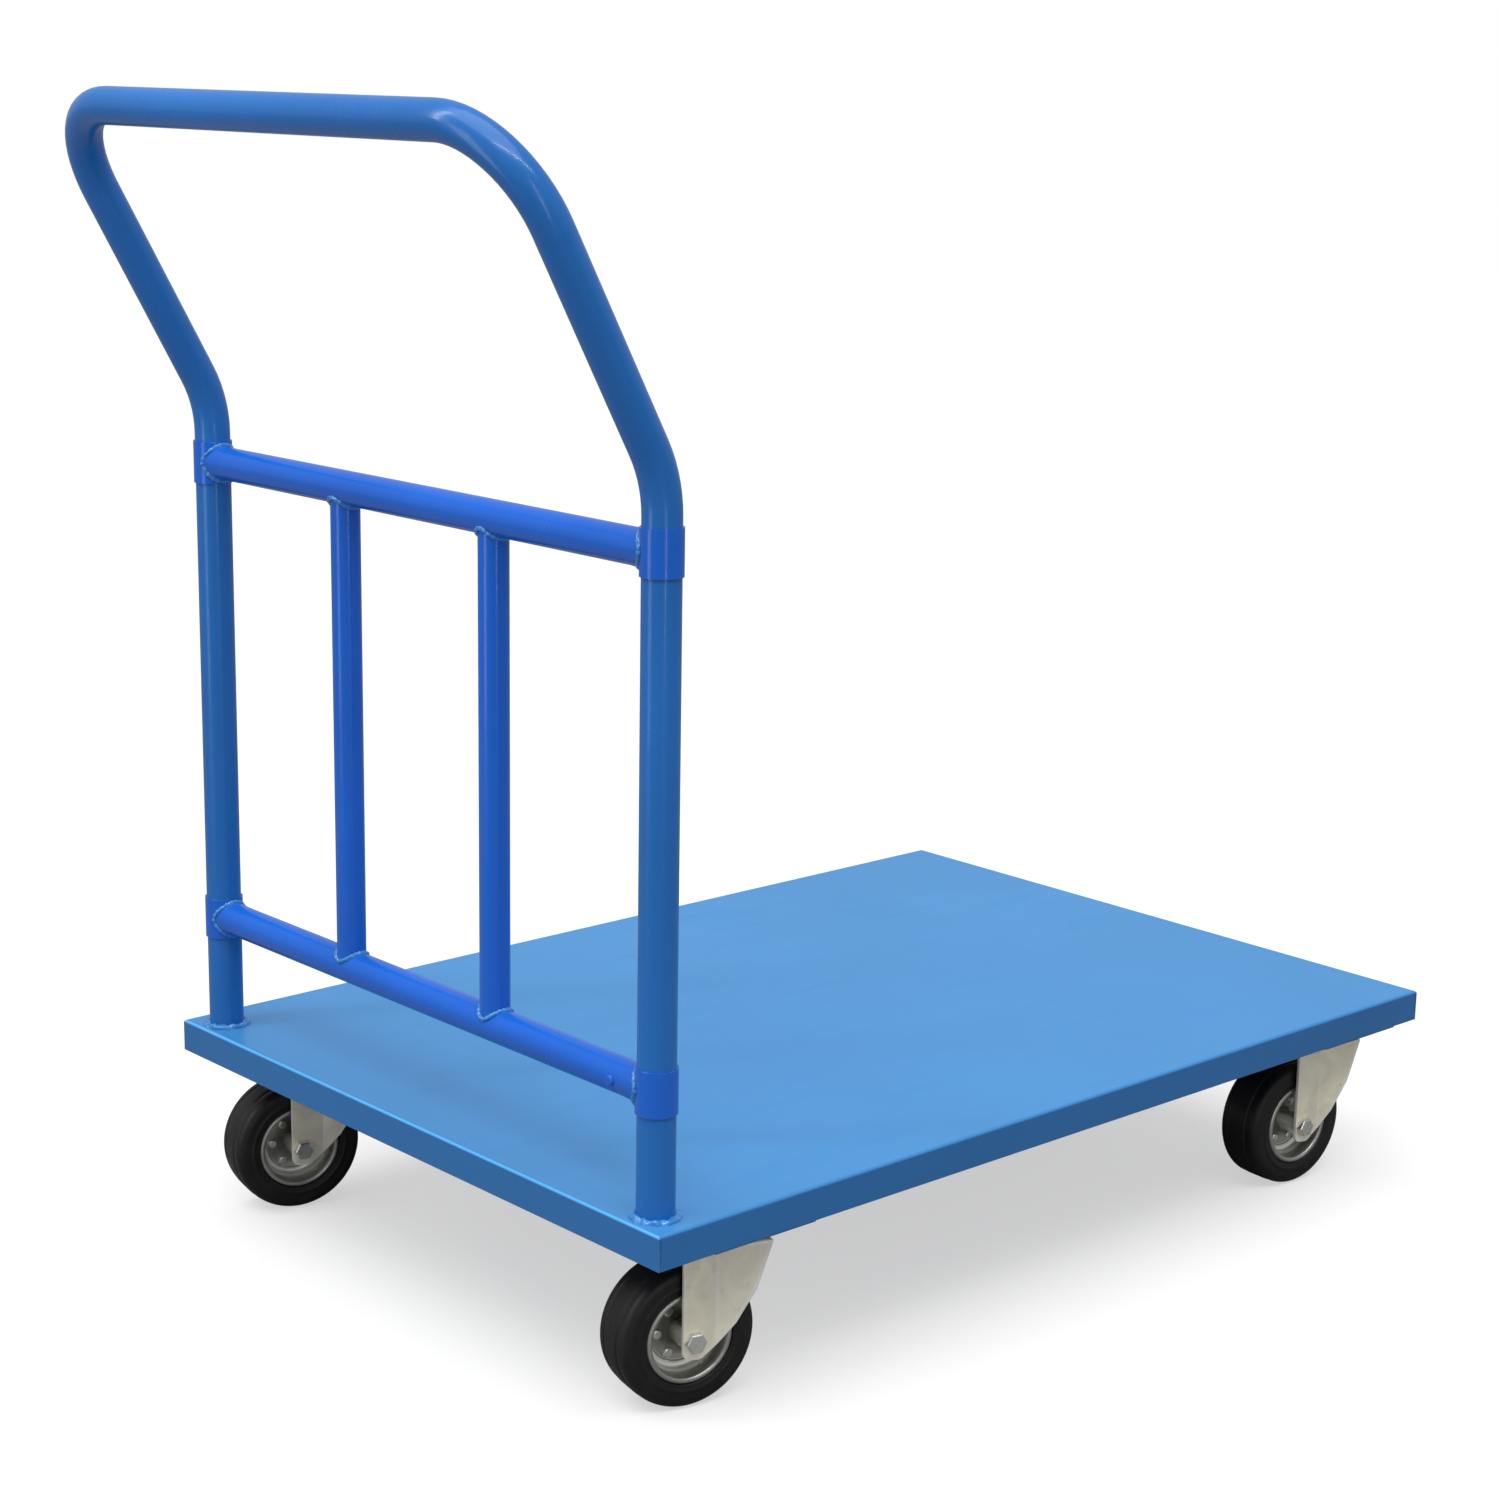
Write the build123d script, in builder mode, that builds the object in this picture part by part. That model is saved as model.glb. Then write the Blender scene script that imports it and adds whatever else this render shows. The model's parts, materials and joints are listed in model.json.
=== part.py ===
# Flatbed platform truck: folded steel deck on four swivel casters, with a bent tube handle and a
# welded guard frame at the handle end. Millimetres. +X forward (away from the handle), +Y left,
# +Z up, origin on the floor under the middle of the whole object's bounding box.
import os
from math import atan2, cos, sin, tan

from build123d import *

os.makedirs("parts", exist_ok=True)

# Deck
deck_length = 1000.0
deck_width = 700.0
lip_depth = 30.0
sheet = 2.0
fold_radius = 3.0
seam_width = 0.6
seam_depth = 1.0

# Underframe
channel_width = 110.0
channel_depth = 30.0
channel_wall = 3.0
stiffener_width = 40.0
stiffener_depth = 20.0
stiffener_spacing = 300.0

# Handle and guard frame, heights above the deck
tube_diameter = 32.0
tube_wall = 2.0
upright_inset_end = 26.0
upright_inset_side = 35.0
kink_rise = 592.0
grip_rise = 855.0
grip_reach = 147.0
kink_radius = 110.0
grip_radius = 85.0
rail_diameter = 30.0
rail_flare_diameter = 34.0
rail_flare_length = 32.0
rail_rises = {"upper": 537.0, "lower": 107.0}
bar_diameter = 26.0
collar_wall = 1.5
collar_height = 38.0
weld_leg = 2.0
foot_weld_leg = 5.0
foot_weld_toe = 0.8
weld_penetration = 0.3
plug_diameter = 9.0
plug_height = 2.0
plug_edge_radius = 1.6
plug_offset = 40.0

# Casters: heights above the floor
wheel_diameter = 125.0
tyre_width = 50.0
caster_height = 155.0
caster_inset_rear = 117.0
caster_inset_front = 88.0
caster_inset_side = 64.0
caster_trail = 36.0
turn_rear = -13.0
turn_front = -5.0
plate_length = 105.0
plate_width = 80.0
plate_thickness = 4.0
plate_corner = 8.0
boss_edge_radius = 1.2
hole_spacing_length = 80.0
hole_spacing_width = 60.0
mount_hole_diameter = 9.0

# Swivel head
ball_diameter = 5.0
ball_circle = 48.0
ball_count = 24
ball_seat_clearance = 0.05
ball_clearance = 0.3
groove_depth = 0.35
race_outer = 68.0
race_inner = 24.0
race_height = 2.0
race_wall = 2.0
race_lip_gap = 1.0
boss_diameter = 62.0
kingpin_diameter = 12.0
kingpin_head_diameter = 22.0
kingpin_head_height = 3.0
kingpin_tail = 2.0
king_nut_flats = 19.0
king_nut_height = 7.0
king_washer_diameter = 24.0
king_washer_height = 2.2
running_clearance = 0.05
thread_clearance = 0.1
face_clearance = 0.3

# Fork
fork_wall = 3.0
fork_gap = 56.0
fork_crown_clearance = 14.5
fork_wing_flare = 7.0
fork_crown_radius = 36.0
fork_bend_radius = 2.5
fork_corner_radius = 7.0
# Side outline of the fork, as distances forward of and above the axle
fork_heel = (-10.0, -15.0)
fork_toe = (6.0, -17.0)
fork_shin = (22.0, -6.0)
fork_knee = (38.0, 10.0)
fork_thigh = (56.0, 38.0)
fork_hip = (68.0, 74.0)
fork_front = 70.0
fork_crease = 21.0

# Wheel
rim_radius = 36.0
rim_wall = 2.0
rim_web_offset = 2.0
rim_bead_radius = 2.2
rim_bead_inset = 2.7
rim_dish_slope = 5.0
hub_diameter = 20.0
hub_side_clearance = 1.0
hub_flange_radius = 26.0
rivet_diameter = 5.0
rivet_head_diameter = 9.0
rivet_head_height = 2.2
rivet_edge_radius = 1.8
rivet_clearance = 0.05
rivet_circle = 42.0
rivet_count = 6
shoulder_radius = 9.0
tyre_heel = 5.5
tyre_heel_rise = 4.4
groove_width = 2.0
groove_cut = 1.2
groove_offset = 11.0

# Fasteners
axle_diameter = 10.0
axle_head_flats = 16.0
axle_head_height = 6.4
head_chamfer = 0.8
axle_nut_height = 8.0
axle_tail = 3.0
bolt_diameter = 8.0
bolt_flats = 13.0
bolt_head_height = 5.3
nut_height = 6.5
bolt_tail = 2.0

# Derived positions
deck_top = caster_height + channel_depth + sheet
lip_bottom = deck_top - lip_depth
sheet_bottom = deck_top - sheet
tray_inner_width = deck_width - 2 * sheet
tube_radius = tube_diameter / 2
rail_radius = rail_diameter / 2
bar_radius = bar_diameter / 2
collar_radius = tube_radius + collar_wall
# The handle reaches back past the deck, so the deck sits forward of the bounding box's middle.
handle_overhang = grip_reach - upright_inset_end + tube_radius
deck_back = -(deck_length + handle_overhang) / 2 + handle_overhang
deck_front = deck_back + deck_length
deck_middle = (deck_back + deck_front) / 2
upright_x = deck_back + upright_inset_end
upright_y = deck_width / 2 - upright_inset_side
feet = ((upright_x, -upright_y), (upright_x, upright_y))
foot_seat_radius = tube_radius + foot_weld_leg
foot_bottom = deck_top - weld_penetration
lean = atan2(grip_reach, grip_rise - kink_rise)
rail_heights = {name: deck_top + rise for name, rise in rail_rises.items()}
bar_spacing = 2 * upright_y / 3

wheel_radius = wheel_diameter / 2
plate_bottom = caster_height - plate_thickness
crown_bottom = wheel_diameter + fork_crown_clearance
crown_top = crown_bottom + fork_wall
race_top = crown_top + race_height
ball_radius = ball_diameter / 2
ball_height = race_top - groove_depth + ball_radius
boss_bottom = ball_height + ball_radius - groove_depth
cheek_inner = fork_gap / 2
cheek_outer = cheek_inner + fork_wall
hub_length = fork_gap - 2 * hub_side_clearance
rim_bead_offset = tyre_width / 2 - rim_bead_inset
caster_y = deck_width / 2 - caster_inset_side
rear_caster_x = deck_back + caster_inset_rear
front_caster_x = deck_front - caster_inset_front
casters = {
    "rear_left": (rear_caster_x, caster_y, turn_rear),
    "rear_right": (rear_caster_x, -caster_y, turn_rear),
    "front_left": (front_caster_x, caster_y, turn_front),
    "front_right": (front_caster_x, -caster_y, turn_front),
}


def save(shape, name):
    shape.label = name
    export_step(shape, f"parts/{name}.step")


# Deck tray: one sheet folded down on four sides, its corner seams left open as fine grooves
with BuildPart() as deck_tray:
    with BuildSketch(Plane.XY.offset(lip_bottom)):
        with Locations((deck_middle, 0)):
            Rectangle(deck_length, deck_width)
    extrude(amount=lip_depth)
    fillet(deck_tray.faces().sort_by(Axis.Z)[-1].edges(), fold_radius)
    with BuildSketch(Plane.XY.offset(lip_bottom)):
        with Locations((deck_middle, 0)):
            Rectangle(deck_length - 2 * sheet, tray_inner_width)
    extrude(amount=lip_depth - sheet, mode=Mode.SUBTRACT)
    with BuildSketch(Plane.XY.offset(lip_bottom)):
        with Locations((deck_middle, 0)):
            with GridLocations(deck_length - 2 * sheet, deck_width, 2, 2):
                Rectangle(seam_width, 2 * seam_depth)
    extrude(amount=lip_depth - fold_radius, mode=Mode.SUBTRACT)
    # Shallow seats where the uprights and their weld beads are fused into the sheet
    with BuildSketch(Plane.XY.offset(foot_bottom)):
        with Locations(*feet):
            Circle(foot_seat_radius)
    extrude(amount=weld_penetration, mode=Mode.SUBTRACT)
save(deck_tray.part, "deck_tray")


def cross_channel(station_x):
    """Upturned channel under the deck that two caster plates bolt to."""
    with BuildPart() as channel:
        with BuildSketch(Plane.XY.offset(caster_height)):
            with Locations((station_x, 0)):
                Rectangle(channel_width, tray_inner_width)
        extrude(amount=channel_depth)
        with BuildSketch(Plane.XY.offset(caster_height + channel_wall)):
            with Locations((station_x, 0)):
                Rectangle(channel_width - 2 * channel_wall, tray_inner_width)
        extrude(amount=channel_depth - channel_wall, mode=Mode.SUBTRACT)
        with BuildSketch(Plane.XY.offset(caster_height)):
            with Locations((station_x, -caster_y), (station_x, caster_y)):
                with GridLocations(hole_spacing_length, hole_spacing_width, 2, 2):
                    Circle(mount_hole_diameter / 2)
        extrude(amount=channel_wall, mode=Mode.SUBTRACT)
    return channel.part


save(cross_channel(rear_caster_x), "channel_rear")
save(cross_channel(front_caster_x), "channel_front")

stiffener_length = front_caster_x - rear_caster_x - channel_width
stiffener_middle = (front_caster_x + rear_caster_x) / 2
for side, centre_y in (("left", stiffener_spacing / 2), ("right", -stiffener_spacing / 2)):
    with BuildPart() as stiffener:
        with BuildSketch(Plane.XY.offset(sheet_bottom - stiffener_depth)):
            with Locations((stiffener_middle, centre_y)):
                Rectangle(stiffener_length, stiffener_width)
        extrude(amount=stiffener_depth)
        with BuildSketch(Plane.XY.offset(sheet_bottom - stiffener_depth + sheet)):
            with Locations((stiffener_middle, centre_y)):
                Rectangle(stiffener_length, stiffener_width - 2 * sheet)
        extrude(amount=stiffener_depth - sheet, mode=Mode.SUBTRACT)
    save(stiffener.part, f"stiffener_{side}")

# Handle: one tube, up from the deck, leaning back over the handle end, across and down again
slope = Vector(-sin(lean), 0, cos(lean))
up = Vector(0, 0, 1)
across = Vector(0, 1, 0)
kink_right = Vector(upright_x, -upright_y, deck_top + kink_rise)
grip_right = Vector(upright_x - grip_reach, -upright_y, deck_top + grip_rise)
kink_left = Vector(kink_right.X, upright_y, kink_right.Z)
grip_left = Vector(grip_right.X, upright_y, grip_right.Z)
kink_tangent = kink_radius * tan(lean / 2)
with BuildPart() as handle_tube:
    with BuildLine() as handle_path:
        Line((upright_x, -upright_y, foot_bottom), kink_right - up * kink_tangent)
        TangentArc(kink_right - up * kink_tangent, kink_right + slope * kink_tangent, tangent=up)
        Line(kink_right + slope * kink_tangent, grip_right - slope * grip_radius)
        TangentArc(grip_right - slope * grip_radius, grip_right + across * grip_radius, tangent=slope)
        Line(grip_right + across * grip_radius, grip_left - across * grip_radius)
        TangentArc(grip_left - across * grip_radius, grip_left - slope * grip_radius, tangent=across)
        Line(grip_left - slope * grip_radius, kink_left + slope * kink_tangent)
        TangentArc(kink_left + slope * kink_tangent, kink_left - up * kink_tangent, tangent=-slope)
        Line(kink_left - up * kink_tangent, (upright_x, upright_y, foot_bottom))
    with BuildSketch(Plane.XY.offset(foot_bottom)):
        with Locations(feet[0]):
            Circle(tube_radius)
            Circle(tube_radius - tube_wall, mode=Mode.SUBTRACT)
    sweep(path=handle_path.wires()[0])
save(handle_tube.part, "handle_tube")

with BuildPart() as foot_welds:
    with BuildSketch(Plane.XY.offset(foot_bottom)):
        with Locations(*feet):
            Circle(foot_seat_radius)
    extrude(amount=weld_penetration)
    with Locations((upright_x, -upright_y, deck_top), (upright_x, upright_y, deck_top)):
        Cone(
            foot_seat_radius,
            tube_radius + foot_weld_toe,
            foot_weld_leg,
            align=(Align.CENTER, Align.CENTER, Align.MIN),
        )
        Cylinder(tube_radius, 4 * foot_weld_leg, mode=Mode.SUBTRACT)
save(foot_welds.part, "foot_welds")

# Guard frame: two rails between the uprights, their flared ends coped to collars
for name, height in rail_heights.items():
    with BuildPart() as rail:
        with BuildSketch(Plane.YZ.offset(upright_x)):
            with BuildLine():
                Polyline(
                    (-upright_y, height + rail_flare_diameter / 2),
                    (-upright_y + rail_flare_length, height + rail_radius),
                    (upright_y - rail_flare_length, height + rail_radius),
                    (upright_y, height + rail_flare_diameter / 2),
                    (upright_y, height + rail_radius - tube_wall),
                    (-upright_y, height + rail_radius - tube_wall),
                    close=True,
                )
            make_face()
        revolve(axis=Axis((upright_x, 0, height), (0, 1, 0)))
        with Locations((upright_x, -upright_y, height), (upright_x, upright_y, height)):
            Cylinder(collar_radius, 2 * rail_flare_diameter, mode=Mode.SUBTRACT)
    save(rail.part, f"{name}_rail")
    for side, post_y in (("left", upright_y), ("right", -upright_y)):
        with BuildPart() as collar:
            with BuildSketch(Plane.XY.offset(height - collar_height / 2)):
                with Locations((upright_x, post_y)):
                    Circle(collar_radius)
                    Circle(tube_radius, mode=Mode.SUBTRACT)
            extrude(amount=collar_height)
        save(collar.part, f"collar_{name}_{side}")

for side, bar_y in (("left", bar_spacing / 2), ("right", -bar_spacing / 2)):
    with BuildPart() as bar:
        with BuildSketch(Plane.XY.offset(rail_heights["lower"])):
            with Locations((upright_x, bar_y)):
                Circle(bar_radius)
                Circle(bar_radius - tube_wall, mode=Mode.SUBTRACT)
        extrude(amount=rail_heights["upper"] - rail_heights["lower"])
        for height in rail_heights.values():
            with Locations((upright_x, bar_y, height)):
                Cylinder(rail_radius, 4 * bar_radius, rotation=(90, 0, 0), mode=Mode.SUBTRACT)
    save(bar.part, f"bar_{side}")

# Weld beads where bar meets rail and rail meets collar
with BuildPart() as bar_bead:
    Cylinder(bar_radius + weld_leg, 2 * rail_diameter, align=(Align.CENTER, Align.CENTER, Align.MIN))
    Cylinder(bar_radius, 4 * rail_diameter, mode=Mode.SUBTRACT)
    Cylinder(rail_radius + weld_leg, 4 * rail_diameter, rotation=(90, 0, 0), mode=Mode.INTERSECT)
    Cylinder(rail_radius, 8 * rail_diameter, rotation=(90, 0, 0), mode=Mode.SUBTRACT)

with BuildPart() as rail_bead:
    with BuildSketch(Plane.XZ):
        Circle(rail_flare_diameter / 2 + weld_leg)
        Circle(rail_flare_diameter / 2, mode=Mode.SUBTRACT)
    extrude(amount=-2 * rail_diameter)
    Cylinder(collar_radius + weld_leg, 4 * rail_diameter, mode=Mode.INTERSECT)
    Cylinder(collar_radius, 8 * rail_diameter, mode=Mode.SUBTRACT)

beads = []
for name, height in rail_heights.items():
    upturned = 0 if name == "lower" else 180
    for bar_y in (-bar_spacing / 2, bar_spacing / 2):
        place = Location((upright_x, bar_y, height), (upturned, 0, 0))
        beads.append(place * bar_bead.part)
    beads.append(Location((upright_x, -upright_y, height)) * rail_bead.part)
    beads.append(Location((upright_x, upright_y, height), (0, 0, 180)) * rail_bead.part)
save(Compound(children=beads), "frame_welds")

# Domed plug in the lower rail, on the side that faces away from the deck
with BuildPart() as rail_plug:
    with BuildSketch(Plane.YZ.offset(upright_x - rail_radius - plug_height)):
        with Locations((-upright_y + plug_offset, rail_heights["lower"])):
            Circle(plug_diameter / 2)
    extrude(amount=plug_height + rail_radius)
    fillet(rail_plug.edges().sort_by(Axis.X)[0], plug_edge_radius)
    with Locations((upright_x, -upright_y + plug_offset, rail_heights["lower"])):
        Cylinder(rail_radius, 2 * plug_diameter, rotation=(90, 0, 0), mode=Mode.SUBTRACT)
save(rail_plug.part, "rail_plug")

# Casters, drawn once with the swivel axis through the origin and the axle behind it
with BuildPart() as plate:
    with BuildSketch(Plane.XY.offset(plate_bottom)):
        RectangleRounded(plate_length, plate_width, plate_corner)
    extrude(amount=plate_thickness)
    with BuildSketch(Plane.XY.offset(boss_bottom)):
        Circle(boss_diameter / 2)
    extrude(amount=plate_bottom - boss_bottom)
    fillet(plate.edges().group_by(Axis.Z)[0], boss_edge_radius)
    with BuildSketch(Plane.XY.offset(plate_bottom)):
        with GridLocations(hole_spacing_length, hole_spacing_width, 2, 2):
            Circle(mount_hole_diameter / 2)
    extrude(amount=plate_thickness, mode=Mode.SUBTRACT)
    with Locations((0, 0, caster_height)):
        CounterBoreHole(
            kingpin_diameter / 2 + thread_clearance,
            kingpin_head_diameter / 2 + thread_clearance,
            kingpin_head_height,
        )
    with Locations((0, 0, ball_height)):
        Torus(ball_circle / 2, ball_radius + ball_clearance, mode=Mode.SUBTRACT)

king_washer_top = crown_bottom - face_clearance
king_nut_top = king_washer_top - king_washer_height
king_nut_bottom = king_nut_top - king_nut_height
with BuildPart() as kingpin:
    with BuildSketch(Plane.XY.offset(king_nut_bottom - kingpin_tail)):
        Circle(kingpin_diameter / 2)
    extrude(amount=caster_height - king_nut_bottom + kingpin_tail)
    with BuildSketch(Plane.XY.offset(caster_height - kingpin_head_height)):
        Circle(kingpin_head_diameter / 2)
    extrude(amount=kingpin_head_height)
    with BuildSketch(Plane.XY.offset(king_nut_bottom)):
        RegularPolygon(king_nut_flats / 2, 6, major_radius=False)
        Circle(kingpin_diameter / 2 + thread_clearance, mode=Mode.SUBTRACT)
    extrude(amount=king_nut_height)
    with BuildSketch(Plane.XY.offset(king_nut_top)):
        Circle(king_washer_diameter / 2)
        Circle(kingpin_diameter / 2 + thread_clearance, mode=Mode.SUBTRACT)
    extrude(amount=king_washer_height)

with BuildPart() as race:
    with BuildSketch(Plane.XY.offset(crown_top)):
        Circle(race_outer / 2)
        Circle(race_inner / 2, mode=Mode.SUBTRACT)
    extrude(amount=plate_bottom - race_lip_gap - crown_top)
    fillet(race.faces().sort_by(Axis.Z)[-1].outer_wire().edges(), race_wall / 2)
    with BuildSketch(Plane.XY.offset(race_top)):
        Circle(race_outer / 2 - race_wall)
    extrude(amount=plate_bottom - race_top, mode=Mode.SUBTRACT)
    with Locations((0, 0, ball_height)):
        Torus(ball_circle / 2, ball_radius + ball_seat_clearance, mode=Mode.SUBTRACT)

with BuildPart() as balls:
    with Locations((0, 0, ball_height)):
        with PolarLocations(ball_circle / 2, ball_count):
            Sphere(ball_radius)

def beside_axle(point):
    """Side-view position (forward, up) of a point given from the axle."""
    return (point[0] - caster_trail, point[1] + wheel_radius)


fork_rear = fork_heel[0] - caster_trail
fork_fold = fork_crease - caster_trail
fork_lead = fork_front - caster_trail
fork_bottom = wheel_radius + fork_toe[1]
wing_outer = cheek_outer + fork_wing_flare
with BuildPart() as fork:
    # Plan: flat cheeks beside the wheel, then wings that flare out from a vertical crease
    with BuildSketch(Plane.XY.offset(fork_bottom)):
        with BuildLine():
            Polyline(
                (fork_rear, cheek_outer),
                (fork_fold, cheek_outer),
                (fork_lead, wing_outer),
                (fork_lead, -wing_outer),
                (fork_fold, -cheek_outer),
                (fork_rear, -cheek_outer),
                close=True,
            )
        make_face()
    extrude(amount=crown_top - fork_bottom)
    fillet(fork.faces().sort_by(Axis.Z)[-1].edges(), fork_bend_radius)
    with BuildSketch(Plane.XY.offset(fork_bottom)):
        with BuildLine():
            Polyline(
                (fork_rear - fork_wall, cheek_inner),
                (fork_fold, cheek_inner),
                (fork_lead + fork_wall, wing_outer - fork_wall),
                (fork_lead + fork_wall, -wing_outer + fork_wall),
                (fork_fold, -cheek_inner),
                (fork_rear - fork_wall, -cheek_inner),
                close=True,
            )
        make_face()
    extrude(amount=crown_bottom - fork_bottom, mode=Mode.SUBTRACT)
    # Side outline, from the toe under the axle up the leading edge to the crown
    with BuildSketch(Plane.XZ) as outline:
        with BuildLine():
            Polyline(
                (fork_rear, crown_top),
                beside_axle(fork_heel),
                beside_axle(fork_toe),
                beside_axle(fork_shin),
                beside_axle(fork_knee),
                beside_axle(fork_thigh),
                beside_axle(fork_hip),
                (fork_lead, crown_top),
                close=True,
            )
        make_face()
        fillet(outline.vertices().sort_by(Axis.Y)[:6], fork_corner_radius)
    extrude(amount=wing_outer, both=True, mode=Mode.INTERSECT)
    with BuildSketch(Plane.XY.offset(crown_bottom)):
        Circle(fork_crown_radius)
    extrude(amount=fork_wall)
    with Locations((-caster_trail, 0, wheel_radius)):
        Cylinder(
            axle_diameter / 2 + thread_clearance, 4 * fork_gap, rotation=(90, 0, 0), mode=Mode.SUBTRACT
        )
    Cylinder(kingpin_diameter / 2 + running_clearance, 4 * crown_top, mode=Mode.SUBTRACT)

with BuildPart() as axle:
    with BuildSketch(Plane.XZ.offset(cheek_outer)):
        with Locations((-caster_trail, wheel_radius)):
            RegularPolygon(axle_head_flats / 2, 6, major_radius=False)
    extrude(amount=axle_head_height)
    chamfer(axle.faces().sort_by(Axis.Y)[0].edges(), head_chamfer)
    with BuildSketch(Plane.XZ.offset(cheek_outer)):
        with Locations((-caster_trail, wheel_radius)):
            Circle(axle_diameter / 2)
    extrude(amount=-(2 * cheek_outer + axle_nut_height + axle_tail))
    with BuildSketch(Plane.XZ.offset(-cheek_outer)):
        with Locations((-caster_trail, wheel_radius)):
            RegularPolygon(axle_head_flats / 2, 6, major_radius=False)
            Circle(axle_diameter / 2 + thread_clearance, mode=Mode.SUBTRACT)
    extrude(amount=-axle_nut_height)

# Wheel, drawn once about its own centre with the axle along Y
with BuildPart() as tyre:
    with BuildSketch(Plane.YZ) as tread:
        with Locations((0, wheel_radius)):
            Rectangle(tyre_width, wheel_radius - rim_radius, align=(Align.CENTER, Align.MAX))
        fillet(tread.vertices().group_by(Axis.Y)[-1], shoulder_radius)
        for side in (-1, 1):
            with Locations((side * tyre_width / 2, rim_radius)):
                Rectangle(2 * tyre_heel, 2 * tyre_heel_rise, mode=Mode.SUBTRACT)
            with Locations((side * groove_offset, wheel_radius)):
                Rectangle(groove_width, 2 * groove_cut, mode=Mode.SUBTRACT)
    revolve(axis=Axis.Y)

rivet_seat = rim_web_offset + rim_wall
with BuildPart() as rim:
    with BuildSketch(Plane.YZ):
        for side in (-1, 1):
            with Locations((side * (rim_web_offset + rim_wall / 2), (rim_radius + hub_diameter / 2) / 2)):
                Rectangle(rim_wall, rim_radius - hub_diameter / 2)
            with Locations((side * (rim_web_offset + rim_bead_offset) / 2, rim_radius - rim_wall / 2)):
                Rectangle(rim_bead_offset - rim_web_offset, rim_wall)
            with Locations((side * rim_bead_offset, rim_radius + rim_bead_radius / 2)):
                Circle(rim_bead_radius)
            with BuildLine():
                Polyline(
                    (side * rivet_seat, rim_radius - rim_wall),
                    (side * (rivet_seat + rim_dish_slope), rim_radius - rim_wall),
                    (side * rivet_seat, rim_radius - rim_wall - rim_dish_slope),
                    close=True,
                )
            make_face()
    revolve(axis=Axis.Y)
    with BuildSketch(Plane.XZ):
        with PolarLocations(rivet_circle / 2, rivet_count):
            Circle(rivet_diameter / 2 + rivet_clearance)
    extrude(amount=tyre_width, both=True, mode=Mode.SUBTRACT)

with BuildPart() as hub:
    with BuildSketch(Plane.XZ):
        Circle(hub_flange_radius)
    extrude(amount=rim_web_offset, both=True)
    with BuildSketch(Plane.XZ):
        Circle(hub_diameter / 2)
    extrude(amount=hub_length / 2, both=True)
    with BuildSketch(Plane.XZ):
        Circle(axle_diameter / 2 + running_clearance)
        with PolarLocations(rivet_circle / 2, rivet_count):
            Circle(rivet_diameter / 2 + rivet_clearance)
    extrude(amount=hub_length / 2, both=True, mode=Mode.SUBTRACT)

with BuildPart() as rivets:
    with BuildSketch(Plane.XZ):
        with PolarLocations(rivet_circle / 2, rivet_count):
            Circle(rivet_diameter / 2)
    extrude(amount=rivet_seat, both=True)
    for side in (-1, 1):
        with BuildSketch(Plane.XZ.offset(side * rivet_seat)):
            with PolarLocations(rivet_circle / 2, rivet_count):
                Circle(rivet_head_diameter / 2)
        extrude(amount=side * rivet_head_height)
    fillet(rivets.edges().group_by(Axis.Y)[0], rivet_edge_radius)
    fillet(rivets.edges().group_by(Axis.Y)[-1], rivet_edge_radius)

for corner, (station_x, station_y, turn) in casters.items():
    station = Location((station_x, station_y, 0))
    swivel = Location((station_x, station_y, 0), (0, 0, turn))
    wheel = swivel * Location((-caster_trail, 0, wheel_radius))
    for piece, shape in (("plate", plate), ("kingpin", kingpin)):
        save(station * shape.part, f"{piece}_{corner}")
    for piece, shape in (("race", race), ("balls", balls), ("fork", fork), ("axle", axle)):
        save(swivel * shape.part, f"{piece}_{corner}")
    for piece, shape in (("tyre", tyre), ("rim", rim), ("hub", hub), ("rivets", rivets)):
        save(wheel * shape.part, f"{piece}_{corner}")

# Caster mounting bolts, heads under the plates, and their nuts inside the channels
with BuildPart() as mount_bolts:
    with BuildSketch(Plane.XY.offset(plate_bottom)):
        for station_x, station_y, _ in casters.values():
            with Locations((station_x, station_y)):
                with GridLocations(hole_spacing_length, hole_spacing_width, 2, 2):
                    RegularPolygon(bolt_flats / 2, 6, major_radius=False)
    extrude(amount=-bolt_head_height)
    chamfer(mount_bolts.edges().group_by(Axis.Z)[0], head_chamfer)
    with BuildSketch(Plane.XY.offset(plate_bottom)):
        for station_x, station_y, _ in casters.values():
            with Locations((station_x, station_y)):
                with GridLocations(hole_spacing_length, hole_spacing_width, 2, 2):
                    Circle(bolt_diameter / 2)
    extrude(amount=plate_thickness + channel_wall + nut_height + bolt_tail)
save(mount_bolts.part, "mount_bolts")

with BuildPart() as mount_nuts:
    with BuildSketch(Plane.XY.offset(caster_height + channel_wall)):
        for station_x, station_y, _ in casters.values():
            with Locations((station_x, station_y)):
                with GridLocations(hole_spacing_length, hole_spacing_width, 2, 2):
                    RegularPolygon(bolt_flats / 2, 6, major_radius=False)
                    Circle(bolt_diameter / 2 + thread_clearance, mode=Mode.SUBTRACT)
    extrude(amount=nut_height)
save(mount_nuts.part, "mount_nuts")
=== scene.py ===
import json
import math

import bpy
from mathutils import Matrix, Vector, noise


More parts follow.
